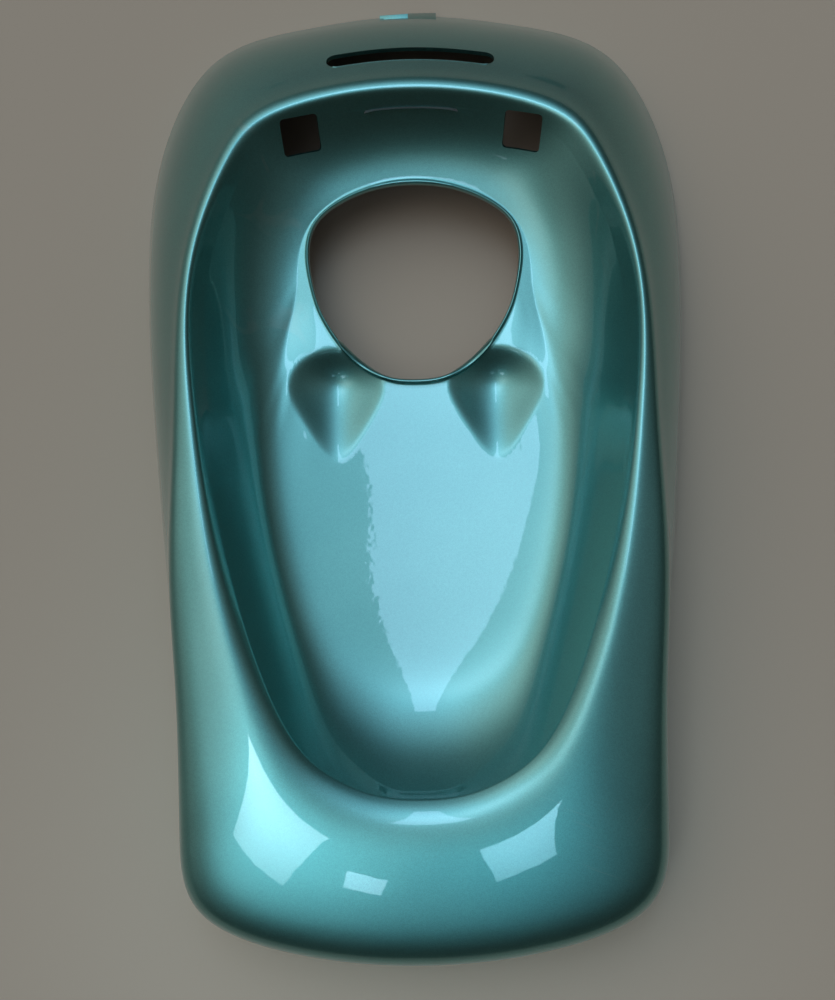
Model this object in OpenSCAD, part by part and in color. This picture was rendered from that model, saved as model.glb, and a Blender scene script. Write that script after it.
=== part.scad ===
// Front leg shield of a big-wheel scooter: one moulded plastic shell.
// It lies on its rear edge, front face up. +Y is the shield's top, +Z points out of its front.
// The skin is drawn as rings that follow one another from the rear edge up the outer wall,
// over the rim, down into the wheel recess and across its floor to the steering hole.

/* [Rear edge] */
// Width over the rear edge, side to side
edge_w = 343; // [320:1:370]
// Length over the rear edge, top to bottom
edge_l = 600; // [570:1:640]
// Thickness of the moulded wall
wall = 2.5; // [2:0.1:3]

/* [Rim of the wheel recess] */
// Width of the recess at its widest
rim_w = 261; // [245:1:275]
// Length of the recess
rim_l = 422; // [400:1:440]
// Middle of the recess, ahead of the middle of the shell
rim_y = 6.5; // [-5:0.5:15]
// Height of the recess's edge over the rear edge, where it is highest
rim_h = 89; // [75:1:105]
// Place of the rim's highest point along the shell
rim_crown_y = 0; // [-30:1:40]
// Radius of the rim's long arch, seen from the side
rim_crown_r = 1700; // [1400:50:4000]
// Rounding of the rim on its recess side
rim_round = 4; // [2.5:0.5:6]

/* [Shoulder and flange] */
// Swell of the outer wall where it leans, per unit of its height
wall_swell = 0.075; // [0:0.005:0.1]
// Share of the way from rim to rear edge that the shoulder takes at the top
crest_share = 0.13; // [0.1:0.01:0.2]
// Share of the way from rim to rear edge that the flange takes at the bottom
flange_share = 0.95; // [0.9:0.005:0.98]
// Place along the shell where the crest turns into the flange
flange_y = -35; // [-60:1:0]
// Length over which the crest turns into the flange
flange_blend = 45; // [35:1:60]
// Fall of the flange towards the shoulder, per unit of its width
flange_fall = 0.14; // [0.08:0.01:0.2]
// Rise of the narrow crest between its two sides
crest_rise = 2; // [0:0.5:3]
// Rounding length of the narrow crest
crest_round = 8; // [6:0.5:10]

/* [Recess floor] */
// Height of the floor at its lowest point
floor_h = 30; // [22:1:38]
// Place of the floor's lowest point along the shell
floor_low_y = -105; // [-130:1:-80]
// Radius of the floor's long curve, seen from the side
floor_r = 2450; // [1800:50:4000]
// Width of the curved wall between the rim and the flat of the floor
bowl_reach = 78; // [65:1:90]
// Steepness of that wall just below the rim
bowl_power = 2.3; // [2.1:0.05:2.8]

/* [Steering hole] */
// Width of the steering hole
hole_w = 128.6; // [115:0.1:140]
// Length of the steering hole
hole_l = 119.5; // [105:0.5:128]
// Middle of the steering hole, ahead of the middle of the shell
hole_y = 109.5; // [104:0.5:114]
// Width of the raised bead round the hole
bead_w = 4; // [3:0.5:7]
// Height of the bead over the floor
bead_h = 2; // [1:0.1:3]

/* [Fork hollows] */
// Distance of each hollow from the centre line
hollow_x = 49; // [45:0.5:52]
// Place of the widest part of a hollow along the shell
hollow_y = 44.5; // [40:0.5:47]
// Width of a hollow
hollow_w = 59; // [48:1:62]
// Length of its round end
hollow_up = 25; // [18:1:27]
// Length of its pointed end
hollow_down = 44; // [36:1:52]
// Depth of a hollow
hollow_depth = 11; // [8:0.5:16]

/* [Square holes] */
// Side of each square hole
square_s = 23; // [16:0.5:25]
// Rounding of its corners
square_round = 2.5; // [1:0.5:4]
// Place round the recess, in outline steps from the top
square_step = 1.81; // [1.6:0.01:2]
// Place down the recess wall, in meridian steps from the rear edge
square_level = 10.7; // [10.5:0.05:12]
// Turn of each square in its own plane
square_turn = 13; // [0:1:25]

/* [Slot] */
// Length of the slot in the top wall
slot_l = 103; // [80:1:120]
// Height of the slot, measured along the wall
slot_w = 14; // [6:0.5:16]
// Height of the slot's middle over the rear edge
slot_h = 58; // [48:1:60]

/* [Ledge at the top edge] */
// Length of the notch in the rear edge
notch_l = 32; // [24:1:40]
// Height of the notch
notch_h = 8; // [4:0.5:12]
// Shift of the notch from the centre line
notch_x = -1.5; // [-6:0.5:6]
// Length of the flat ledge in the notch
ledge_l = 16; // [10:1:20]
// Thickness of the ledge
ledge_t = 2.4; // [1.5:0.1:2.8]

/* [Screw bosses] */
// Distance between the two columns of bosses
boss_spacing_x = 262; // [250:1:270]
// Distance between the upper and the lower bosses
boss_spacing_y = 300; // [260:1:330]
// Middle of the bosses, ahead of the middle of the shell
boss_y = -30; // [-40:1:-10]
// Outer diameter of a boss
boss_d = 9; // [7:0.5:11]
// Diameter of its screw hole
boss_bore = 3.6; // [3:0.1:4.5]
// Depth of its screw hole
boss_bore_depth = 18; // [12:1:24]
// Height of the boss's mouth over the rear edge
boss_mouth = 3; // [1:0.5:6]
// Length of a boss
boss_l = 26; // [20:1:34]
// Thickness of the web that carries a boss
web_t = 2.2; // [1.5:0.1:3]

/* [Hidden] */
$fn = 48;
paint = [0.36, 0.60, 0.60];

// Facets between two outline points, and fine steps used by the curves
around = 4;
eps = 0.01;

// Outlines of one half, from the top centre to the bottom centre, in halves of width and length
EDGE_SHAPE = [
    [0, 1], [0.41, 0.974], [0.75, 0.902], [0.941, 0.71], [1, 0.485], [0.991, 0.25], [0.96, 0.015],
    [0.915, -0.22], [0.86, -0.465], [0.851, -0.71], [0.782, -0.892], [0.415, -0.978], [0, -1]
];
RIM_SHAPE = [
    [0, 1], [0.345, 0.979], [0.659, 0.913], [0.828, 0.784], [0.957, 0.562], [1, 0.301], [0.956, -0.005],
    [0.862, -0.325], [0.717, -0.633], [0.552, -0.846], [0.369, -0.945], [0.18, -0.99], [0, -1]
];
HOLE_SHAPE = [
    [0, 1], [0.236, 0.982], [0.477, 0.92], [0.717, 0.803], [0.927, 0.608], [1, 0.32], [0.975, 0.033],
    [0.913, -0.23], [0.802, -0.468], [0.659, -0.677], [0.473, -0.851], [0.25, -0.972], [0, -1]
];
// Rounded section of the bead: share of its width left to the hole, and share of its height
BEAD_SHAPE = [[0.75, 0.2], [0.5, 0.85], [0.3, 1], [0.1, 0.75], [0, 0.25]];
// Places along the meridian where a ring of facets is drawn
RING_STEPS = [0, 0.8, 1.6, 2.2, 2.8, 3.2, 3.6, 4, 4.4, 4.9, 5.6, 6.4, 7.3, 7.7, 8.05, 8.4, 8.9, 9.6, 10.5, 11.3,
    12.2, 13.2, 14.2, 15.2, 15.7, 16, 16.2, 16.4, 16.6, 16.8];
// The hidden sheet needs only every second ring as far as this step
fine_from = 14.2;

// Smooth closed curve through given points: a cubic B-spline whose control points are
// found with the closed form of the spline's own filter
spline_pole = sqrt(3) - 2;
function half_loop(shape, w, l, mid) = [for (p = shape) [p.x * w / 2, mid + p.y * l / 2]];
function whole_loop(half) = concat(half, [for (j = [len(half) - 2:-1:1]) [-half[j].x, half[j].y]]);
function filter_weights(n) = [for (k = [0:n - 1])
    sqrt(3) * (pow(spline_pole, k) + pow(spline_pole, n - k)) / (1 - pow(spline_pole, n))];
function loop_controls(p) = let (n = len(p), w = filter_weights(n))
    [for (j = [0:n - 1]) w * [for (k = [0:n - 1]) p[(j + k) % n]]];
function basis(f) = [pow(1 - f, 3), 3 * pow(f, 3) - 6 * f * f + 4, -3 * pow(f, 3) + 3 * f * f + 3 * f + 1,
    pow(f, 3)] / 6;
function on_loop(c, t) = let (n = len(c), i = floor(t), b = basis(t - i))
    b * [for (k = [-1:2]) c[(i + k + n) % n]];
function on_row(c, v) = let (i = min(floor(v), len(c) - 4), b = basis(v - i)) b * [for (k = [0:3]) c[i + k]];

edge_loop = loop_controls(whole_loop(half_loop(EDGE_SHAPE, edge_w, edge_l, 0)));
rim_loop = loop_controls(whole_loop(half_loop(RIM_SHAPE, rim_w, rim_l, rim_y)));
hole_loop = loop_controls(whole_loop(half_loop(HOLE_SHAPE, hole_w, hole_l, hole_y)));
steps = len(edge_loop);

// Heights of the rim and of the floor
function rim_z(y) = rim_h - pow(y - rim_crown_y, 2) / (2 * rim_crown_r);
function floor_z(y) = floor_h + pow(y - floor_low_y, 2) / (2 * floor_r);
function at_height(p, z) = [p.x, p.y, z];
function unit(v) = v / norm(v);

// Share of the way from rim to rear edge at which the shoulder lies
function shoulder_share(y) = crest_share
    + (flange_share - crest_share) / (1 + exp((y - flange_y) / flange_blend));

// Smaller of two lengths, rounded where they are alike
min_round = 20;
function soft_min(a, b) = let (h = min(1, max(0, 0.5 + (b - a) / (2 * min_round))))
    b + (a - b) * h - min_round * h * (1 - h);

// Depth of the two hollows at a place on the floor: their lower ends are narrower and shallower
hollow_taper = 0.9;
hollow_lean = 0.45;
hollow_ease = 1.5;
function hollow(x, y) = let (
    v = y > hollow_y ? (y - hollow_y) / hollow_up : (y - hollow_y) / hollow_down,
    u = (abs(x) - hollow_x) / (hollow_w / 2) * (1 + hollow_taper * pow(max(0, -v), 1.5)))
    hollow_depth * pow(max(0, 1 - u * u - v * v), hollow_ease)
        * (1 + hollow_lean * (y - hollow_y) / hollow_down);

// Point of the recess, a distance d in from the rim towards the steering hole
function bowl(rim, hole, d, reach) = let (
    p = rim + (hole - rim) / norm(hole - rim) * d,
    low = floor_z(p.y),
    share = 1 - min(1, max(0, d / reach)))
    at_height(p, low + (rim_z(rim.y) - low) * pow(share, bowl_power));
function bowl_width(rim, hole) = soft_min(norm(hole - rim) - bead_w, bowl_reach);

// Shares of the bowl's width, and of the flat floor, at which the meridian is steered
BOWL_SHARES = [0.14, 0.28, 0.46, 0.7, 0.98];
FLOOR_SHARES = [0.35, 0.7, 1];
// Shares of the wall's length at which its swell is held, and the most of a length that a rounding takes
SWELL_SHARES = [0.33, 0.7];
wall_room = 0.45;
lip_room = 0.3;
rim_drop = 1.5;
crown = 0.03;
bulge_in = 0.8;
roll_growth = 0.3;
roll_from = 12;

// Control points of one meridian, from the rear edge to the bead
function meridian(t) = let (
    edge = on_loop(edge_loop, t),
    rim = on_loop(rim_loop, t),
    hole = on_loop(hole_loop, t),
    shoulder = rim + (edge - rim) * shoulder_share(edge.y),
    flange_w = norm(shoulder - rim),
    foot = at_height(edge, 0),
    top = at_height(rim, rim_z(rim.y)),
    corner = at_height(shoulder, top.z - rim_drop - flange_fall * flange_w),
    wall_l = norm(corner - foot),
    up = (corner - foot) / wall_l,
    across = (top - corner) / norm(top - corner),
    width = norm(top - corner),
    roll = min(crest_round + roll_growth * max(0, flange_w - roll_from), wall_room * wall_l),
    lip = min(rim_round, lip_room * width),
    bulge = [0, 0, crown * width + crest_rise * (1 - shoulder_share(edge.y))],
    wall_top = corner - up * roll,
    inward = unit([corner.x - foot.x, corner.y - foot.y]),
    outward = [-inward.x * up.z, -inward.y * up.z, norm([up.x, up.y])],
    swell = outward * wall_l * wall_swell * (1 - shoulder_share(edge.y)),
    reach = bowl_width(rim, hole),
    flat_l = norm(hole - rim) - bead_w - BOWL_SHARES[4] * reach)
    concat(
        [foot],
        [for (s = SWELL_SHARES) foot + (wall_top - foot) * s + swell],
        [wall_top, corner, corner + across * min(roll, wall_room * width) + bulge,
            top - across * max(2 * lip, lip_room * width) + bulge * bulge_in,
            top - across * lip, top, bowl(rim, hole, lip, reach)],
        [for (s = BOWL_SHARES) bowl(rim, hole, s * reach, reach)],
        [for (s = FLOOR_SHARES) bowl(rim, hole, BOWL_SHARES[4] * reach + s * flat_l, reach)]);

// The meridian is held at both of its ends by a mirrored point
function held(c) = let (n = len(c)) concat([2 * c[0] - c[1]], c, [2 * c[n - 1] - c[n - 2]]);
recess_from = 9;
function sunk(p, v) = v > recess_from ? p - [0, 0, hollow(p.x, p.y)] : p;
function skin_point(row, v) = sunk(on_row(row, v), v);

// Rings of the plain skin: along the meridian, then the flat strip that the bead stands on
last_step = 17;
function skin_column(t) = let (
    row = held(meridian(t)),
    rim = on_loop(rim_loop, t),
    hole = on_loop(hole_loop, t),
    span = norm(hole - rim),
    reach = bowl_width(rim, hole))
    concat(
        [for (v = concat(RING_STEPS, [last_step])) skin_point(row, v)],
        [for (b = BEAD_SHAPE) sunk(bowl(rim, hole, span - b.x * bead_w, reach), last_step)]);

columns = [for (i = [0:steps * around - 1]) skin_column(i / around)];
turns = len(columns);
rings = len(columns[0]);
bead_from = rings - len(BEAD_SHAPE);

function normal_at(i, r) = unit(cross(
    columns[i][min(r + 1, rings - 1)] - columns[i][max(r - 1, 0)],
    columns[(i + 1) % turns][r] - columns[(i + turns - 1) % turns][r]));
function bead_lift(r) = r < bead_from ? 0 : bead_h * BEAD_SHAPE[r - bead_from][1];
function outer_point(i, r) = columns[i][r] + normal_at(i, min(r, bead_from - 1)) * bead_lift(r);
function flat_normal(n) = [n.x, n.y, 0] / (n.x * n.x + n.y * n.y);
function inner_point(i, r) = let (n = normal_at(i, min(r, bead_from)))
    columns[i][r] - wall * (r == 0 ? flat_normal(n) : n);

// The hidden sheet skips rings where the skin is plain, and runs flat under the bead
inner_rings = [for (r = [0:rings - 1]) let (v = r < len(RING_STEPS) ? RING_STEPS[r] : last_step)
    if (v >= fine_from ? r <= bead_from || r == rings - 1 : r % 2 == 0) r];

// Two triangles for each cell between two rings of a sheet, mirrored on the left half
function band(low, high) = [for (i = [0:turns - 1]) let (j = (i + 1) % turns)
    each i < turns / 2 ? [[low + i, low + j, high + j], [low + i, high + j, high + i]]
        : [[low + i, low + j, high + i], [low + j, high + j, high + i]]];
function turned(faces) = [for (f = faces) [f[0], f[2], f[1]]];

// Moulded skin: an outer and an inner sheet, joined at the rear edge and at the steering hole
module skin() {
    outer = [for (r = [0:rings - 1], i = [0:turns - 1]) outer_point(i, r)];
    inner = [for (r = inner_rings, i = [0:turns - 1]) inner_point(i, r)];
    half = len(outer);
    faces = concat(
        [for (r = [0:rings - 2]) each band(r * turns, (r + 1) * turns)],
        [for (r = [0:len(inner_rings) - 2]) each turned(band(half + r * turns, half + (r + 1) * turns))],
        turned(band(0, half)),
        band((rings - 1) * turns, half + (len(inner_rings) - 1) * turns));
    polyhedron(points = concat(outer, inner), faces = faces, convexity = 10);
}

// Stands its children on the skin at a place of the meridian, with X along the ring,
// Y up the meridian and Z out of the skin
module on_skin(t, v) {
    here = skin_point(held(meridian(t)), v);
    x = unit(skin_point(held(meridian(t + eps)), v) - skin_point(held(meridian(t - eps)), v));
    rise = unit(skin_point(held(meridian(t)), v + eps) - skin_point(held(meridian(t)), v - eps));
    z = unit(cross(rise, x));
    y = cross(z, x);
    multmatrix([[x.x, y.x, z.x, here.x], [x.y, y.y, z.y, here.y], [x.z, y.z, z.z, here.z], [0, 0, 0, 1]])
        children();
}

cut_h = 8;
module rounded_square(size, r) {
    offset(r) square(size - 2 * r, center = true);
}

// One of the two square holes high in the recess, for the right or the left side
module square_hole(side) {
    t = side > 0 ? square_step : steps - square_step;
    on_skin(t, square_level) rotate(side * square_turn)
        translate([0, 0, -cut_h]) linear_extrude(2 * cut_h) rounded_square(square_s, square_round);
}

// The long slot follows a level line of the top wall
slot_parts = 16;
wall_row = held(meridian(0));
slot_v = [for (v = [0:0.05:4]) if (skin_point(wall_row, v).z < slot_h) v];
slot_place = slot_v[len(slot_v) - 1];
slot_mid = skin_point(wall_row, slot_place);
slot_rise = unit(skin_point(wall_row, slot_place + eps) - skin_point(wall_row, slot_place - eps));
slot_reach = slot_l / 2 - slot_w / 2;
// Outline step at which the level line has gone the slot's half length sideways
function line_point(t) = skin_point(held(meridian(t)), slot_place);
slot_scale = slot_reach / line_point(0.5).x * 0.5;
function slot_bend(x) = let (t = x / slot_reach * slot_scale,
    p = line_point(t < 0 ? t + steps : t) - slot_mid) [p.x, p * slot_rise];
module slot_outline() {
    line = [for (k = [-slot_parts / 2:slot_parts / 2]) slot_bend(k * slot_reach * 2 / slot_parts)];
    offset(slot_w / 2 - 0.5) polygon(concat([for (p = line) [p.x, p.y + 0.5]],
        [for (k = [slot_parts:-1:0]) [line[k].x, line[k].y - 0.5]]));
}
module slot() {
    on_skin(0, slot_place) translate([0, 0, -4 * wall]) linear_extrude(8 * wall) slot_outline();
}

// Point of a meridian's wall at a height above the rear edge
wall_steps = [0:0.05:4];
function wall_at(row, z) = let (below = [for (v = wall_steps) let (p = on_row(row, v)) if (p.z <= z) p])
    below[len(below) - 1];
// Place of the top wall's hidden face over the centre line at a height
function hidden_y(z) = wall_at(wall_row, z).y - wall;
ledge_root = notch_h + 5;

// Notch in the middle of the top edge
module notch() {
    translate([notch_x - notch_l / 2, hidden_y(notch_h) - 2 * wall, -1])
        cube([notch_l, edge_l / 10, notch_h + 1]);
}

// Ledge behind the notch, which reaches out to the rear edge, with a ramp that falls away to its left
ledge_up = 2;
module ledge() {
    right = notch_x + notch_l / 2;
    tip = wall_at(wall_row, 0).y;
    back = hidden_y(ledge_up + ledge_t) - wall;
    translate([right - ledge_l, 0, 0]) rotate([90, 0, 90]) linear_extrude(ledge_l + wall)
        polygon([[tip, 0], [tip, ledge_up + ledge_t], [hidden_y(ledge_up), ledge_up + ledge_t],
            [hidden_y(ledge_root) + wall / 2, ledge_root], [hidden_y(ledge_root) - wall / 2, ledge_root],
            [back, ledge_up], [tip - wall, ledge_up], [tip - wall, 0]]);
    translate([0, tip, 0]) rotate([90, 0, 0]) linear_extrude(tip - back)
        polygon([[notch_x - notch_l / 2 - wall, 0], [right - ledge_l + 1, ledge_up],
            [right - ledge_l + 1, ledge_up + ledge_t], [notch_x - notch_l / 2 - wall, ledge_t]]);
}

// Screw boss on a web that springs from the side wall
module boss(side, place_y) {
    x = side * boss_spacing_x / 2;
    top = boss_mouth + boss_l;
    difference() {
        union() {
            translate([x, place_y, boss_mouth]) cylinder(d = boss_d, h = boss_l);
            rotate([90, 0, 0]) translate([0, 0, -place_y - web_t / 2]) linear_extrude(web_t)
                polygon(concat([[x, top - 1], [x, boss_mouth + 1]],
                    [for (z = [boss_mouth + 1:web_step:top + boss_d]) [side * side_x(place_y, z), z]]));
        }
        translate([x, place_y, boss_mouth - 1]) cylinder(d = boss_bore, h = boss_bore_depth + 1);
    }
}

// Half width of the side wall's middle surface at a place along the shell and a height
web_step = 4;
side_steps = [2:0.05:11];
function side_x(y, z) = let (near = [for (t = side_steps) if (on_loop(edge_loop, t).y > y) t])
    wall_at(held(meridian(near[len(near) - 1])), z).x - wall / 2;

// The whole shield is one moulding
module leg_shield() {
    color(paint) {
        difference() {
            skin();
            for (side = [-1, 1]) square_hole(side);
            slot();
            notch();
        }
        ledge();
        for (side = [-1, 1], up = [-1, 1]) boss(side, boss_y + up * boss_spacing_y / 2);
    }
}

leg_shield();
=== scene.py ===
"""Dressed model of a scooter's front leg shield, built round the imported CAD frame."""

import logging
import math
from dataclasses import dataclass, field
from enum import Enum
from functools import cached_property

import bmesh
import bpy
from mathutils import Matrix, Vector

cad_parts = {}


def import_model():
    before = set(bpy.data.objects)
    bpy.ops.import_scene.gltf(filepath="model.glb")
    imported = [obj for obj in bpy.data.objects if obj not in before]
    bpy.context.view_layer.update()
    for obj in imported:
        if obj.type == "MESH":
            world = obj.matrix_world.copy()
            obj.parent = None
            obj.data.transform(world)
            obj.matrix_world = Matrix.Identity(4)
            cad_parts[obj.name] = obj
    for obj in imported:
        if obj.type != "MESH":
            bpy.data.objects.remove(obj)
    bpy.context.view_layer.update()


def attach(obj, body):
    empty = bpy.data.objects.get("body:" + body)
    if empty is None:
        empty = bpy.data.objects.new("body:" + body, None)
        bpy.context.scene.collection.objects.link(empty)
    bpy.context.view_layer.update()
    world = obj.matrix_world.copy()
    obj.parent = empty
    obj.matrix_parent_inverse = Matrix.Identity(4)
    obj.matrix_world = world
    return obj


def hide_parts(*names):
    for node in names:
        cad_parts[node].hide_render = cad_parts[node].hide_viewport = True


LOG = logging.getLogger("leg_shield")
MM = 0.001


class Side(Enum):
    """The two sides of the shield."""

    LEFT = -1
    RIGHT = 1


class Face(Enum):
    """What a face of the moulding carries. The value is its material slot."""

    PAINTED = 0
    BARE = 1


def clamped(value: float) -> float:
    """The value, held between 0 and 1."""
    return min(1.0, max(0.0, value))


def spline_weights(f: float) -> tuple[float, float, float, float]:
    """Weights of a uniform cubic B-spline.

    Args:
        f: place between two knots, from 0 to 1.

    Returns:
        The four weights of the control points round that place.
    """
    g = 1 - f
    return g ** 3 / 6, (3 * f ** 3 - 6 * f * f + 4) / 6, (-3 * f ** 3 + 3 * f * f + 3 * f + 1) / 6, f ** 3 / 6


def on_row(row: list[Vector], v: float) -> Vector:
    """Point of an open spline.

    Args:
        row: control points.
        v: place along the spline, in steps.

    Returns:
        The point.
    """
    i = min(int(v), len(row) - 4)
    a, b, c, d = spline_weights(v - i)
    return row[i] * a + row[i + 1] * b + row[i + 2] * c + row[i + 3] * d


@dataclass(frozen=True)
class Outline:
    """Smooth closed curve through points given for its right half, top to bottom, in halves of its size."""

    shape: tuple[tuple[float, float], ...]
    width: float
    length: float
    middle: float = 0.0

    @cached_property
    def controls(self) -> list[Vector]:
        """Control points of the spline that passes through the outline's points."""
        half = [Vector((x * self.width / 2, self.middle + y * self.length / 2)) for x, y in self.shape]
        loop = half + [Vector((-p.x, p.y)) for p in reversed(half[1:-1])]
        n = len(loop)
        pole = math.sqrt(3) - 2
        weights = [math.sqrt(3) * (pole ** k + pole ** (n - k)) / (1 - pole ** n) for k in range(n)]
        return [sum((loop[(j + k) % n] * weights[k] for k in range(n)), Vector((0, 0))) for j in range(n)]

    def at(self, t: float) -> Vector:
        """Point of the outline.

        Args:
            t: place along it, in outline steps clockwise from the top.

        Returns:
            The point, in millimetres.
        """
        n = len(self.controls)
        i = math.floor(t)
        weights = spline_weights(t - i)
        return sum((self.controls[(i + k - 1) % n] * w for k, w in enumerate(weights)), Vector((0, 0)))


@dataclass
class MouldedSkin:
    """The curved skin of the moulding, in millimetres.

    Its sizes repeat part.scad's, but for the trough, the side walls, the crest and the hollows' depth.
    """

    edge: Outline = Outline(
        ((0, 1), (0.41, 0.974), (0.75, 0.902), (0.941, 0.71), (1, 0.485), (0.991, 0.25), (0.96, 0.015),
         (0.915, -0.22), (0.86, -0.465), (0.851, -0.71), (0.782, -0.892), (0.415, -0.978), (0, -1)), 343, 600)
    rim: Outline = Outline(
        ((0, 1), (0.345, 0.979), (0.659, 0.913), (0.828, 0.784), (0.957, 0.562), (1, 0.301), (0.956, -0.005),
         (0.862, -0.325), (0.717, -0.633), (0.552, -0.846), (0.369, -0.945), (0.18, -0.99), (0, -1)),
        261, 422, 6.5)
    hole: Outline = Outline(
        ((0, 1), (0.236, 0.982), (0.477, 0.92), (0.717, 0.803), (0.927, 0.608), (1, 0.32), (0.975, 0.033),
         (0.913, -0.23), (0.802, -0.468), (0.659, -0.677), (0.473, -0.851), (0.25, -0.972), (0, -1)),
        128.6, 119.5, 109.5)
    wall: float = 2.5
    rim_h: float = 89
    rim_crown_y: float = 0
    rim_crown_r: float = 1700
    rim_round: float = 4
    rim_drop: float = 1.5
    wall_swell: float = 0.075
    crest_share: float = 0.13
    flange_share: float = 0.95
    flange_y: float = -35
    flange_blend: float = 45
    flange_fall: float = 0.14
    crest_round: float = 8
    roll_growth: float = 0.3
    roll_from: float = 12
    crown: float = 0.03
    crest_rise: float = 0.1
    crest_narrow: float = 12
    crest_widening: float = 30
    crest_out: float = 0.33
    crest_spread: float = 0.12
    crest_in: float = 0.3
    crest_lift: float = 0.4
    corner_drop: float = 1.2
    top_drop: float = 0.7
    wall_shares: tuple[float, float] = (0.33, 0.7)
    wall_room: float = 0.45
    floor_h: float = 30
    floor_low_y: float = -105
    floor_r: float = 2450
    bowl_reach: float = 78
    bowl_power: float = 2.3
    side_reach: float = 20
    side_power: float = 0.6
    side_turn: float = 0.22
    side_turn_ease: float = 0.4
    side_span: float = 70
    side_span_ease: float = 50
    lip_in: float = 5
    lip_shares: tuple[float, float] = (0.75, 1.7)
    lip_drop: float = 0.3
    lip_room: float = 0.3
    min_round: float = 20
    trough_r: float = 822
    trough_end: float = 95
    trough_ease: float = 60
    bead_w: float = 4
    hollow_x: float = 49
    hollow_y: float = 44.5
    hollow_w: float = 59
    hollow_up: float = 25
    hollow_down: float = 44
    hollow_depth: float = 9.5
    hollow_taper: float = 0.9
    hollow_lean: float = 0.45
    hollow_ease: float = 1.5
    recess_from: float = 9
    last_step: float = 17
    bowl_shares: tuple[float, ...] = (0.14, 0.28, 0.46, 0.7, 0.98)
    floor_shares: tuple[float, ...] = (0.35, 0.7, 1)

    def rim_height(self, y: float) -> float:
        """Height of the rim at a place along the shell."""
        return self.rim_h - (y - self.rim_crown_y) ** 2 / (2 * self.rim_crown_r)

    def floor_height(self, x: float, y: float) -> float:
        """Height of the recess floor, a shallow trough across.

        Args:
            x: place across the shell.
            y: place along it.

        Returns:
            The height.
        """
        share = clamped((self.trough_end - y) / self.trough_ease)
        trough = x * x / (2 * self.trough_r) * share * share * (3 - 2 * share)
        return self.floor_h + (y - self.floor_low_y) ** 2 / (2 * self.floor_r) + trough

    def shoulder_share(self, y: float) -> float:
        """Share of the way from rim to rear edge at which the shoulder lies."""
        return self.crest_share + (self.flange_share - self.crest_share) / (
            1 + math.exp((y - self.flange_y) / self.flange_blend))

    def sideways(self, rim: Vector, hole: Vector) -> float:
        """How far the recess wall eases out into the floor.

        Args:
            rim: the rim's point.
            hole: the steering hole's point.

        Returns:
            A share from 0 at the ends of the recess to 1 at its sides.
        """
        across = hole - rim
        turn = clamped((abs(across.normalized().x) - self.side_turn) / self.side_turn_ease)
        span = clamped((across.length - self.side_span) / self.side_span_ease)
        share = turn * span
        return share * share * (3 - 2 * share)

    def bowl_width(self, rim: Vector, hole: Vector) -> float:
        """Width of the curved recess wall.

        Args:
            rim: the rim's point.
            hole: the steering hole's point.

        Returns:
            The width from the rim towards the hole.
        """
        room = (hole - rim).length - self.bead_w
        most = self.bowl_reach + self.side_reach * self.sideways(rim, hole)
        h = clamped(0.5 + (most - room) / (2 * self.min_round))
        return most + (room - most) * h - self.min_round * h * (1 - h)

    def hollow(self, x: float, y: float) -> float:
        """Depth of the two fork hollows.

        Args:
            x: place across the shell.
            y: place along it.

        Returns:
            The depth, 0 outside them.
        """
        v = (y - self.hollow_y) / (self.hollow_up if y > self.hollow_y else self.hollow_down)
        u = (abs(x) - self.hollow_x) / (self.hollow_w / 2) * (1 + self.hollow_taper * max(0.0, -v) ** 1.5)
        slant = 1 + self.hollow_lean * (y - self.hollow_y) / self.hollow_down
        return self.hollow_depth * max(0.0, 1 - u * u - v * v) ** self.hollow_ease * slant

    def bowl(self, rim: Vector, hole: Vector, d: float, reach: float) -> Vector:
        """Point of the recess.

        Args:
            rim: the rim's point.
            hole: the steering hole's point.
            d: distance in from the rim.
            reach: width of the curved wall there.

        Returns:
            The point.
        """
        p = rim + (hole - rim).normalized() * d
        low = self.floor_height(p.x, p.y)
        share = 1 - clamped(d / reach)
        power = self.bowl_power + self.side_power * self.sideways(rim, hole)
        return Vector((p.x, p.y, low + (self.rim_height(rim.y) - low) * share ** power))

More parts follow.
